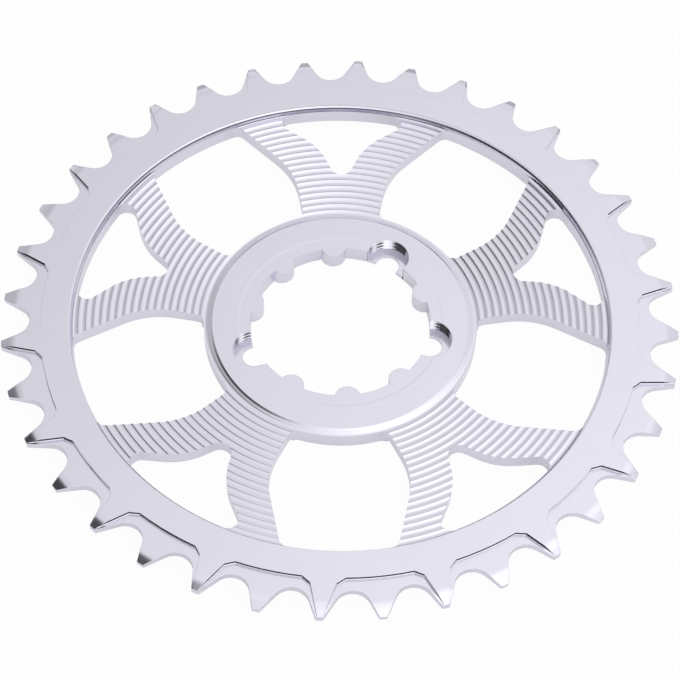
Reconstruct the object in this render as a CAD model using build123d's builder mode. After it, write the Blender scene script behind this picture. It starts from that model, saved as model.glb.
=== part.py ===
import os
from math import pi, radians, sin, tan

from build123d import *

# Teeth, made for a half-inch chain, leaning a little to one side
tooth_count = 36
chain_pitch = 12.7
roller_seat_radius = 3.95
steep_flank_angle = 26
slack_flank_angle = 34
tip_radius = 75.1
tip_bevel_radius = 72.3
first_wide_tooth = 7.2
wide_tip_thickness = 1.6
narrow_thickness = 1.5
narrow_tip_thickness = 0.6
narrow_bevel_half_width = 4.0

# Pockets that thin the ring around each narrow tooth
pocket_floor_radius = 66.4
pocket_steep_side = 8.8
pocket_steep_flare = 23.8
pocket_slack_side = 8.6
pocket_slack_flare = 28.4
pocket_corner_cut = 1.4

# Rim that carries the teeth
tooth_plane = 5.35
rim_thickness = 3.3
rim_inner_radius = 60.3
rim_ledge = 1.2
back_step_radius = 61.0

# Dished web that becomes the spokes, with its turned grooves
web_inner_radius = 31.35
web_outer_radius = 58.3
web_top_at_hub = 3.7
web_top_at_rim = 5.65
web_bow = 0.09
web_thickness = 3.3
groove_count = 16
groove_depth = 0.25

# Hub
hub_thickness = 3.9
hub_face_radius = 28.6
hub_cove_radius = 29.9
hub_cove_height = 3.42
hub_pad_radius = 31.0
hub_pad_height = 0.9

# Spokes and the gaps between them
spoke_count = 5
first_spoke = 18
gap_inner_radius = 30.5
gap_outer_radius = 59.5
gap_corner_radius = 2.0
stem_half_width = 8.4
stem_start_radius = 28.5
fork_radius = 41.8
fork_half_width = 10.8
fork_bend_radius = 18.0
arm_end_radius = 62.0
arm_end_half_width = 32.6

# Tulip opening in the fork of each spoke
tulip_point_radius = 37.5
tulip_base_radius = 2.6
tulip_waist_radius = 49.05
tulip_waist_half_width = 5.3
tulip_bend_radius = 15.0
tulip_end_radius = 60.0
tulip_end_half_width = 22.5
tulip_outer_radius = 59.4
tulip_corner_radius = 2.3

# Splined bore: round keys, and three of the places taken by bolt seats
bore_radius = 20.1
spline_step = 36
first_spline_place = 22.7
key_places = (0, 2, 3, 4, 6, 7, 8)
key_circle_radius = 20.6
key_radius = 2.85
bolt_places = (1, 5, 9)
bolt_circle_radius = 20.6
bolt_hole_radius = 2.7
bolt_seat_radius = 4.8
bolt_seat_depth = 3.1

# Spare length by which cutters pass beyond the faces they cut
cutter_spare = 0.4

# Heights and angles that follow from the sizes above
tooth_step = 360 / tooth_count
first_narrow_tooth = first_wide_tooth + tooth_step
pitch_radius = chain_pitch / (2 * sin(pi / tooth_count))
rim_top = tooth_plane + rim_thickness / 2
rim_back = tooth_plane - rim_thickness / 2
web_width = web_outer_radius - web_inner_radius
web_back_at_rim = web_top_at_rim - web_thickness
cutter_radius = tip_radius + cutter_spare
through_height = rim_top + 2 * cutter_spare


# Height of the web's upper side at a given radius, bowed between hub and rim
def web_top(radius):
    share = (radius - web_inner_radius) / web_width
    straight = web_top_at_hub + share * (web_top_at_rim - web_top_at_hub)
    return straight + 4 * web_bow * share * (1 - share)


# Outline of the hollow around one narrow tooth, which points along X
with BuildSketch() as pocket:
    steep_slope = tan(radians(pocket_steep_flare))
    slack_slope = tan(radians(pocket_slack_flare))
    run_in = pocket_floor_radius - rim_inner_radius
    run_out = cutter_radius - pocket_floor_radius
    with BuildLine():
        Polyline(
            (rim_inner_radius, pocket_steep_side - run_in * steep_slope),
            (cutter_radius, pocket_steep_side + run_out * steep_slope),
            (cutter_radius, -pocket_slack_side - run_out * slack_slope),
            (rim_inner_radius, -pocket_slack_side + run_in * slack_slope),
            close=True,
        )
    make_face()
    Circle(pocket_floor_radius, mode=Mode.SUBTRACT)

# The same hollow with its inner corners cut off, as on the front face
with BuildSketch() as front_pocket:
    add(pocket.sketch)
    chamfer(front_pocket.vertices().sort_by(Axis.X)[:2], pocket_corner_cut)

# Wedges that bevel both faces of one narrow tooth, which points along X
with BuildPart() as narrow_bevel:
    bevel_drop = (narrow_thickness - narrow_tip_thickness) / 2
    bevel_end = tip_bevel_radius + 2 * (tip_radius - tip_bevel_radius)
    with BuildSketch(Plane.XZ):
        with BuildLine():
            Polyline(
                (tip_bevel_radius, tooth_plane + narrow_thickness / 2),
                (bevel_end, tooth_plane + narrow_thickness / 2),
                (bevel_end, tooth_plane + narrow_thickness / 2 - 2 * bevel_drop),
                close=True,
            )
        make_face()
        mirror(about=Plane.XY.offset(tooth_plane))
    extrude(amount=narrow_bevel_half_width, both=True)

# Gap between two teeth: a roller seat with straight flanks, along X
with BuildSketch() as tooth_gap:
    with BuildLine():
        seat_arc = 180 - steep_flank_angle - slack_flank_angle
        seat = CenterArc((pitch_radius, 0), roller_seat_radius, 90 + steep_flank_angle, seat_arc)
        steep_rise = (cutter_radius - (seat @ 0).X) * tan(radians(steep_flank_angle))
        slack_rise = (cutter_radius - (seat @ 1).X) * tan(radians(slack_flank_angle))
        steep_end = (cutter_radius, (seat @ 0).Y + steep_rise)
        slack_end = (cutter_radius, (seat @ 1).Y - slack_rise)
        Line(seat @ 0, steep_end)
        Line(steep_end, slack_end)
        Line(slack_end, seat @ 1)
    make_face()

# One forked spoke along X, running past both ends of the gaps
with BuildSketch() as spoke:
    with BuildLine():
        Polyline(
            (stem_start_radius, -stem_half_width),
            (fork_radius, -fork_half_width),
            (arm_end_radius, -arm_end_half_width),
            (tip_radius, -arm_end_half_width),
            (tip_radius, arm_end_half_width),
            (arm_end_radius, arm_end_half_width),
            (fork_radius, fork_half_width),
            (stem_start_radius, stem_half_width),
            close=True,
        )
    make_face()
    fillet(spoke.vertices().group_by(Axis.X)[1], fork_bend_radius)

# Tulip opening along X
with BuildSketch() as tulip:
    with BuildLine():
        Polyline(
            (tulip_point_radius, 0),
            (tulip_waist_radius, tulip_waist_half_width),
            (tulip_end_radius, tulip_end_half_width),
            (tulip_end_radius, -tulip_end_half_width),
            (tulip_waist_radius, -tulip_waist_half_width),
            close=True,
        )
    make_face()
    fillet(tulip.vertices().group_by(Axis.X)[1], tulip_bend_radius)
    fillet(tulip.vertices().group_by(Axis.X)[0], tulip_base_radius)
    Circle(tulip_outer_radius, mode=Mode.INTERSECT)
    outer_corners = tulip.vertices().sort_by(Axis.Y)
    fillet([outer_corners[0], outer_corners[-1]], tulip_corner_radius)

# The chainring, in one piece
with BuildPart() as chainring:
    # Turned blank
    with BuildSketch(Plane.XZ):
        with BuildLine():
            Polyline(
                (0, 0),
                (0, hub_thickness),
                (hub_face_radius, hub_thickness),
                (hub_cove_radius, hub_cove_height),
                (web_inner_radius, web_top_at_hub),
            )
            for groove in range(groove_count):
                start = web_inner_radius + web_width * groove / groove_count
                middle = web_inner_radius + web_width * (groove + 0.5) / groove_count
                end = web_inner_radius + web_width * (groove + 1) / groove_count
                Polyline(
                    (start, web_top(start)),
                    (middle, web_top(middle) - groove_depth),
                    (end, web_top(end)),
                )
            Polyline(
                (web_outer_radius, web_top_at_rim),
                (web_outer_radius + rim_ledge, web_top_at_rim),
                (rim_inner_radius, rim_top),
                (tip_bevel_radius, rim_top),
                (tip_radius, tooth_plane + wide_tip_thickness / 2),
                (tip_radius, tooth_plane - wide_tip_thickness / 2),
                (tip_bevel_radius, rim_back),
                (back_step_radius, rim_back),
                (back_step_radius, web_back_at_rim),
                (hub_pad_radius, hub_pad_height),
                (hub_pad_radius, 0),
                (0, 0),
            )
        make_face()
    revolve(axis=Axis.Z)

    # Pockets on both faces, which leave the narrow teeth
    for side, outline in ((1, front_pocket), (-1, pocket)):
        with BuildSketch(Plane.XY.offset(tooth_plane + side * narrow_thickness / 2)):
            with PolarLocations(0, tooth_count // 2, start_angle=first_narrow_tooth):
                add(outline.sketch)
        extrude(amount=side * rim_thickness, mode=Mode.SUBTRACT)
    with PolarLocations(0, tooth_count // 2, start_angle=first_narrow_tooth):
        add(narrow_bevel.part, mode=Mode.SUBTRACT)

    # Gaps between the teeth
    with BuildSketch(Plane.XY.offset(rim_back - cutter_spare)):
        with PolarLocations(0, tooth_count, start_angle=first_wide_tooth + tooth_step / 2):
            add(tooth_gap.sketch)
    extrude(amount=rim_thickness + 2 * cutter_spare, mode=Mode.SUBTRACT)

    # Gaps between the spokes and in their forks
    with BuildSketch(Plane.XY.offset(-cutter_spare)) as gaps:
        Circle(gap_outer_radius)
        Circle(gap_inner_radius, mode=Mode.SUBTRACT)
        with PolarLocations(0, spoke_count, start_angle=first_spoke):
            add(spoke.sketch, mode=Mode.SUBTRACT)
        gap_corners = gaps.vertices().group_by(SortBy.DISTANCE)
        fillet(gap_corners[0] + gap_corners[-1], gap_corner_radius)
        with PolarLocations(0, spoke_count, start_angle=first_spoke):
            add(tulip.sketch)
    extrude(amount=through_height, mode=Mode.SUBTRACT)

    # Splined bore with its bolt holes
    with BuildSketch(Plane.XY.offset(-cutter_spare)):
        Circle(bore_radius)
        for place in key_places:
            with PolarLocations(key_circle_radius, 1, start_angle=first_spline_place + place * spline_step):
                Circle(key_radius, mode=Mode.SUBTRACT)
        for place in bolt_places:
            with PolarLocations(bolt_circle_radius, 1, start_angle=first_spline_place + place * spline_step):
                Circle(bolt_hole_radius)
    extrude(amount=through_height, mode=Mode.SUBTRACT)
    with BuildSketch(Plane.XY.offset(hub_thickness - bolt_seat_depth)):
        for place in bolt_places:
            with PolarLocations(bolt_circle_radius, 1, start_angle=first_spline_place + place * spline_step):
                Circle(bolt_seat_radius)
    extrude(amount=through_height, mode=Mode.SUBTRACT)

chainring.part.label = "chainring"

os.makedirs("parts", exist_ok=True)
export_step(chainring.part, "parts/chainring.step")
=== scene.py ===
import math
from types import SimpleNamespace

import bpy
from mathutils import Matrix, Vector

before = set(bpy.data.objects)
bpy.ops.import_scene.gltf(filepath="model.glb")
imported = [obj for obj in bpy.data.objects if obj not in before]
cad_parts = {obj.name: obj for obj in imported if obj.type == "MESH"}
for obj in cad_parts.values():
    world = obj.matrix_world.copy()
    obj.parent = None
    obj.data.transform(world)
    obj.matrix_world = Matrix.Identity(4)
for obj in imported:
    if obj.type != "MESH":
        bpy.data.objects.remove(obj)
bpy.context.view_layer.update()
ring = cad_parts["chainring"]
millimetres = 1000  # in one metre


class Wire:  # one shader socket, so that sums on it can be written as plain Python
    def __init__(self, bench, socket):
        self.bench = bench
        self.socket = socket

    def also(self, name):  # another output of the same node
        return Wire(self.bench, self.socket.node.outputs[name])

    def sum(self, operation, first, second):
        isVector = self.socket.type == "VECTOR"
        kind = "ShaderNodeVectorMath" if isVector else "ShaderNodeMath"
        return self.bench.add(kind, {"operation": operation}, [first, second])

    def __add__(self, other):
        return self.sum("ADD", self, other)

    def __radd__(self, other):
        return self.sum("ADD", other, self)

    def __sub__(self, other):
        return self.sum("SUBTRACT", self, other)

    def __rsub__(self, other):
        return self.sum("SUBTRACT", other, self)

    def __mul__(self, other):
        return self.sum("MULTIPLY", self, other)

    def __rmul__(self, other):
        return self.sum("MULTIPLY", other, self)

    def __truediv__(self, other):
        return self.sum("DIVIDE", self, other)

    def __rtruediv__(self, other):
        return self.sum("DIVIDE", other, self)

    def __pow__(self, other):
        return self.sum("POWER", self, other)

    def __rpow__(self, other):
        return self.sum("POWER", other, self)

    def __neg__(self):
        return self.sum("MULTIPLY", self, -1.0)

    def __gt__(self, other):
        return self.sum("GREATER_THAN", self, other)

    def __lt__(self, other):
        return self.sum("LESS_THAN", self, other)


class Bench:  # an emptied node tree, with one way of adding nodes to it
    def __init__(self, holder):
        holder.use_nodes = True
        self.tree = holder.node_tree
        self.tree.nodes.clear()

    def add(self, kind, settings=None, sockets=None, output=0):
        # settings go on first because they can change which sockets a node has
        node = self.tree.nodes.new(kind)
        for name, value in (settings or {}).items():
            setattr(node, name, value)
        pairs = sockets.items() if isinstance(sockets, dict) else enumerate(sockets or [])
        for name, value in pairs:
            if isinstance(value, Wire):
                self.tree.links.new(value.socket, node.inputs[name])
            else:
                node.inputs[name].default_value = value
        return Wire(self, node.outputs[output]) if node.outputs else None


# a Mix node keeps a set of sockets for each kind of data: first input, second input, output
mixSockets = {"VECTOR": (4, 5, 1), "RGBA": (6, 7, 2)}


def mix(bench, kind, factor, first, second):
    firstInput, secondInput, output = mixSockets[kind]
    sockets = {0: factor, firstInput: first, secondInput: second}
    return bench.add("ShaderNodeMix", {"data_type": kind}, sockets, output)


def split(bench, vector):
    x = bench.add("ShaderNodeSeparateXYZ", None, [vector])
    return x, x.also("Y"), x.also("Z")


def ease(bench, value, low, high):  # climbs smoothly from 0 at low to 1 at high
    sockets = {"Value": value, "From Min": low, "From Max": high}
    return bench.add("ShaderNodeMapRange", {"interpolation_type": "SMOOTHSTEP"}, sockets)


def between(value, low, high):
    return (value > low) * (value < high)


def fromBearing(bearing, height):
    # a direction from its bearing around the ring and its height above the floor, in degrees
    around = math.radians(bearing)
    rise = math.radians(height)
    return Vector((math.cos(around) * math.cos(rise), math.sin(around) * math.cos(rise), math.sin(rise)))


# turned aluminium with a clear anodised skin, sizes in millimetres
turnedMetal = {
    "colour": (0.745, 0.735, 0.835, 1),
    "paleColour": (0.78, 0.77, 0.865, 1),
    "cloudScale": 60.0,
    "cloudDetail": 3.0,
    "roughness": 0.2,
    "roughnessSpread": 0.06,
    "stepPolish": 0.1,
    "edgeRound": 0.15,
    "edgeSamples": 6,
    "upperTilt": 0.4,  # a face that looks up more than this is an upper face
    "wallTilt": 0.3,  # a face that looks up or down less than this is a wall
    "turning": {"step": 0.35, "detail": 2.0, "slope": 0.08},
    "hubMark": {"radius": 22.6, "width": 0.35, "slope": 0.05},
    "hubWall": {"start": 28.6, "bend": 29.05, "easing": 0.1, "steepness": 0.58, "footSteepness": 0.38},
    "flutes": {"inner": 31.21, "outer": 58.16, "count": 16, "cutterRadius": 1.5},
    "dish": {"rise": 1.95, "bow": 0.09},
    "rimWall": {"coveCentre": 58.95, "foot": 59.4, "shoulder": 59.6, "top": 60.3, "steepness": 2.7},
    "tipBevel": {"start": 71.4, "end": 74.4, "slope": 0.62},
    "pocketStep": {
        "inside": 61.0,
        "foot": 6.1,
        "bend": 6.22,
        "steep": 6.42,
        "top": 7.0,
        "lift": 0.7,
        "footLift": 1.4,
    },
    "boltSeats": {
        "bearings": (58.7, 202.7, 346.7),
        "circle": 20.6,
        "innerReach": 4.6,
        "outerReach": 4.95,
        "lift": 0.86,
        "ridge": 1.1,
        "ridgeLift": 0.4,
        "chatterCount": 8,
        "chatterStart": 110,
        "chatterLift": 0.17,
    },
}
noiseMiddle = 0.5  # value that a noise swings about


def readPlace(bench):
    # where a point lies on the ring, the way out from the axis there, and how its face is turned
    spot = bench.add("ShaderNodeTexCoord", output="Object")
    x, y, z = split(bench, spot)
    east = x * millimetres
    north = y * millimetres
    radius = (east * east + north * north) ** 0.5
    facing = bench.add("ShaderNodeNewGeometry", output="True Normal")
    tilt = split(bench, facing)[2]
    return SimpleNamespace(
        spot=spot,
        east=east,
        north=north,
        level=z * millimetres,
        radius=radius,
        outEast=east / radius,
        outNorth=north / radius,
        facing=facing,
        tilt=tilt,
    )


def leaning(bench, place, outward, sideways, upward):
    # normal with the given parts away from the axis, around it and up
    turnEast = place.outEast * outward - place.outNorth * sideways
    turnNorth = place.outNorth * outward + place.outEast * sideways
    lean = bench.add("ShaderNodeCombineXYZ", None, [turnEast, turnNorth, upward])
    return bench.add("ShaderNodeVectorMath", {"operation": "NORMALIZE"}, [lean])


def lifted(bench, place, amount):
    # normal of a wall, tipped upward by amount
    rise = bench.add("ShaderNodeCombineXYZ", None, {"Z": amount})
    return bench.add("ShaderNodeVectorMath", {"operation": "NORMALIZE"}, [place.facing + rise])


def turnedSlope(bench, look, radius):
    # rise per millimetre along the radius: hub wall, hollow flutes, and cove and wall of the rim
    flutes = look["flutes"]
    cutterSquare = flutes["cutterRadius"] ** 2
    width = flutes["outer"] - flutes["inner"]
    pitch = width / flutes["count"]
    hubFoot = flutes["inner"] - pitch  # one more flute runs up to the hub
    share = (radius - flutes["inner"]) / width
    turn = bench.add("ShaderNodeMath", {"operation": "FRACT"}, [(share + 1) * flutes["count"]])
    across = (turn - 0.5) * pitch
    hollow = across / ((cutterSquare - across * across) ** 0.5)
    dish = (look["dish"]["rise"] + 4 * look["dish"]["bow"] * (1 - 2 * share)) / width
    onFlutes = between(radius, hubFoot, flutes["outer"]) * (dish + hollow)

    hub = look["hubWall"]
    bending = ease(bench, radius, hub["bend"] - hub["easing"], hub["bend"] + hub["easing"])
    hubFall = hub["steepness"] + bending * (hub["footSteepness"] - hub["steepness"])
    onHubWall = between(radius, hub["start"], hubFoot) * -hubFall

    rim = look["rimWall"]
    fromCentre = radius - rim["coveCentre"]
    cove = fromCentre / ((cutterSquare - fromCentre * fromCentre) ** 0.5)
    onCove = between(radius, flutes["outer"], rim["foot"]) * cove
    rimClimb = (1 - ease(bench, radius, rim["shoulder"], rim["top"])) * rim["steepness"]
    onRimWall = between(radius, rim["foot"], rim["top"]) * rimClimb
    return onFlutes + onHubWall + onCove + onRimWall


def upperNormal(bench, look, place, edge, streak):
    # turned faces, the rounded fall of the tooth tips, and plain faces with a mark around the bore
    edgeEast, edgeNorth, edgeUp = split(bench, edge)
    edgeOut = edgeEast * place.outEast + edgeNorth * place.outNorth
    edgeSide = edgeNorth * place.outEast - edgeEast * place.outNorth
    fineSlope = streak * look["turning"]["slope"]
    mark = look["hubMark"]
    onMark = between(place.radius, mark["radius"], mark["radius"] + mark["width"]) * mark["slope"]
    plainFace = leaning(bench, place, edgeOut - fineSlope - onMark, edgeSide, edgeUp)
    turnedFace = leaning(bench, place, -(turnedSlope(bench, look, place.radius) + fineSlope), 0.0, 1.0)
    tip = look["tipBevel"]
    tipFall = ease(bench, place.radius, tip["start"], tip["end"]) * tip["slope"]
    tipFace = leaning(bench, place, tipFall * edgeUp, edgeSide, edgeUp)
    onTurned = between(place.radius, look["hubWall"]["start"], look["rimWall"]["top"])
    withinTips = mix(bench, "VECTOR", onTurned, plainFace, turnedFace)
    return mix(bench, "VECTOR", place.radius > tip["start"], withinTips, tipFace)


def stepWall(bench, look, place):
    # steps around the narrow teeth, which are hollow at the foot
    step = look["pocketStep"]
    here = (place.radius > step["inside"]) * between(place.level, step["foot"], step["top"])
    climb = ease(bench, place.level, step["bend"], step["steep"])
    return here, lifted(bench, place, step["lift"] + (1 - climb) * step["footLift"])


def seatWall(bench, look, place):
    # cutter ridges and upright chatter marks around the bolt seats
    seats = look["boltSeats"]
    onSeat = 0.0
    chatter = 0.0
    for bearing in seats["bearings"]:
        middle = seats["circle"] * fromBearing(bearing, 0)
        offEast = place.east - middle.x
        offNorth = place.north - middle.y
        away = (offEast * offEast + offNorth * offNorth) ** 0.5
        here = between(away, seats["innerReach"], seats["outerReach"])
        around = bench.add("ShaderNodeMath", {"operation": "ARCTAN2"}, [offNorth, offEast])
        beat = around * seats["chatterCount"] + math.radians(seats["chatterStart"])
        onSeat = onSeat + here
        chatter = chatter + here * bench.add("ShaderNodeMath", {"operation": "SINE"}, [beat])
    turns = place.level * (2 * math.pi / seats["ridge"])
    ridge = bench.add("ShaderNodeMath", {"operation": "SINE"}, [turns])
    ridgeLift = seats["ridgeLift"] * (ridge > 0) * ridge * ridge
    return onSeat, lifted(bench, place, seats["lift"] + seats["chatterLift"] * chatter + ridgeLift)


def makeTurnedMetal(look):
    material = bpy.data.materials.new("turnedMetal")
    bench = Bench(material)
    place = readPlace(bench)

    # rings left by the turning tool
    turning = look["turning"]
    outPlace = bench.add("ShaderNodeCombineXYZ", None, {"X": place.radius})
    ringMarks = {"Vector": outPlace, "Scale": 1 / turning["step"], "Detail": turning["detail"]}
    streak = bench.add("ShaderNodeTexNoise", None, ringMarks) - noiseMiddle

    # every edge is broken a little, and each kind of face has its own form
    edgeRound = {"Radius": look["edgeRound"] / millimetres}
    edge = bench.add("ShaderNodeBevel", {"samples": look["edgeSamples"]}, edgeRound)
    onStep, stepNormal = stepWall(bench, look, place)
    onSeat, seatNormal = seatWall(bench, look, place)
    stepOrEdge = mix(bench, "VECTOR", onStep, edge, stepNormal)
    wallNormal = mix(bench, "VECTOR", onSeat, stepOrEdge, seatNormal)
    isWall = between(place.tilt, -look["wallTilt"], look["wallTilt"])
    isUpper = place.tilt > look["upperTilt"]
    wallOrEdge = mix(bench, "VECTOR", isWall, edge, wallNormal)
    normal = mix(bench, "VECTOR", isUpper, wallOrEdge, upperNormal(bench, look, place, edge, streak))

    cloudLook = {"Vector": place.spot, "Scale": look["cloudScale"], "Detail": look["cloudDetail"]}
    cloud = bench.add("ShaderNodeTexNoise", None, cloudLook)
    colour = mix(bench, "RGBA", cloud, look["colour"], look["paleColour"])
    polish = isWall * onStep * look["stepPolish"]
    rough = look["roughness"] + streak * look["roughnessSpread"] - polish
    metal = {"Base Color": colour, "Metallic": 1.0, "Roughness": rough, "Normal": normal}
    shader = bench.add("ShaderNodeBsdfPrincipled", None, metal)
    bench.add("ShaderNodeOutputMaterial", None, {"Surface": shader})
    return material


ring.data.materials.clear()
ring.data.materials.append(makeTurnedMetal(turnedMetal))
print("ring finished in turned metal")

# studio light: a bright tent with a soft box above, dark cards on the left, and a low dim edge
# on the camera's side, which give the metal its contrast. Angles are in degrees
studio = {
    "level": 0.88,
    "lights": {
        "overhead": {"bearing": 270, "height": 70, "inner": 10, "outer": 70, "gain": 0.55},
    },
    "cards": {
        "left": {"bearing": 195, "height": 26, "inner": 25, "outer": 44, "gain": 0.9},
        "leftFringe": {"bearing": 180, "height": 30, "inner": 40, "outer": 80, "gain": 0.34},
    },
    "dimHorizon": {"full": 18, "end": 28, "near": -0.1, "far": 0.35, "gain": 0.93},
}
white = (1, 1, 1, 1)


def makeStudioLight(look):
    world = bpy.data.worlds.new("studio")
    bench = Bench(world)
    sight = bench.add("ShaderNodeTexCoord", output="Generated")

    def patch(spot):
        towards = fromBearing(spot["bearing"], spot["height"])
        match = bench.add("ShaderNodeVectorMath", {"operation": "DOT_PRODUCT"}, [sight, towards], "Value")
        outer = math.cos(math.radians(spot["outer"]))
        inner = math.cos(math.radians(spot["inner"]))
        return ease(bench, match, outer, inner) * spot["gain"]

    glow = look["level"]
    for spot in look["lights"].values():
        glow = glow + patch(spot)
    for spot in look["cards"].values():
        glow = glow * (1 - patch(spot))
    dim = look["dimHorizon"]
    sightNorth, sightUp = split(bench, sight)[1:]
    full = math.sin(math.radians(dim["full"]))
    end = math.sin(math.radians(dim["end"]))
    lowSky = 1 - ease(bench, sightUp, full, end)
    cameraSide = 1 - ease(bench, sightNorth, dim["near"], dim["far"])
    glow = glow * (1 - lowSky * cameraSide * dim["gain"])
    seen = bench.add("ShaderNodeLightPath", output="Is Camera Ray")
    strength = glow * (1 - seen) + seen
    background = bench.add("ShaderNodeBackground", None, {"Color": white, "Strength": strength})
    bench.add("ShaderNodeOutputWorld", None, {"Surface": background})
    bpy.context.scene.world = world


makeStudioLight(studio)
print("studio lit")

# white table under the ring, which keeps a faint shadow, with its span in metres
table = {
    "span": 6.0,
    "colour": (0.9, 0.9, 0.9, 1),
    "seenWhite": 0.96,
    "mirroredWhite": 0.46,
}


def makeTable(look):
    half = look["span"] / 2
    mesh = bpy.data.meshes.new("table")
    corners = [(-half, -half, 0), (half, -half, 0), (half, half, 0), (-half, half, 0)]
    mesh.from_pydata(corners, [], [(0, 1, 2, 3)])
    floor = bpy.data.objects.new("table", mesh)
    bpy.context.scene.collection.objects.link(floor)
    material = bpy.data.materials.new("tableWhite")
    bench = Bench(material)
    plain = bench.add("ShaderNodeBsdfDiffuse", None, {"Color": look["colour"]})
    shining = bench.add("ShaderNodeEmission", None, {"Color": white, "Strength": 1.0})
    seen = bench.add("ShaderNodeLightPath", output="Is Camera Ray")
    mirrored = seen.also("Is Glossy Ray") + seen.also("Is Transmission Ray")
    share = seen * look["seenWhite"] + mirrored * look["mirroredWhite"]
    shader = bench.add("ShaderNodeMixShader", None, [share, plain, shining])
    bench.add("ShaderNodeOutputMaterial", None, {"Surface": shader})
    mesh.materials.append(material)


makeTable(table)
print("table laid")

# camera at the photograph's angle, sizes in metres and degrees, lens and sensor in millimetres
view = {
    "height": 55.572,
    "roll": 1.524,
    "turn": -1.0,
    "distance": 0.468236,
    "aimSide": 0.00002,
    "aimDepth": -0.006426,
    "aimLevel": 0.00535,
    "lens": 112.207,
    "sensor": 36.0,
    "clipStart": 0.01,
    "clipEnd": 50.0,
}


def turned(degrees, axis):
    return Matrix.Rotation(math.radians(degrees), 4, axis)


def makeCamera(look):
    lens = bpy.data.cameras.new("camera")
    lens.lens = look["lens"]
    lens.sensor_width = look["sensor"]
    lens.clip_start = look["clipStart"]
    lens.clip_end = look["clipEnd"]
    camera = bpy.data.objects.new("camera", lens)
    bpy.context.scene.collection.objects.link(camera)
    level = Matrix.Translation((0, 0, look["aimLevel"]))
    aim = Matrix.Translation((look["aimSide"], look["aimDepth"], 0))
    back = Matrix.Translation((0, 0, look["distance"]))
    tilt = turned(90 - look["height"], "X")
    roll = turned(look["roll"], "Z")
    camera.matrix_world = level @ turned(look["turn"], "Z") @ aim @ tilt @ roll @ back
    bpy.context.scene.camera = camera


makeCamera(view)
bpy.context.scene.view_settings.view_transform = "Standard"
print("camera placed")
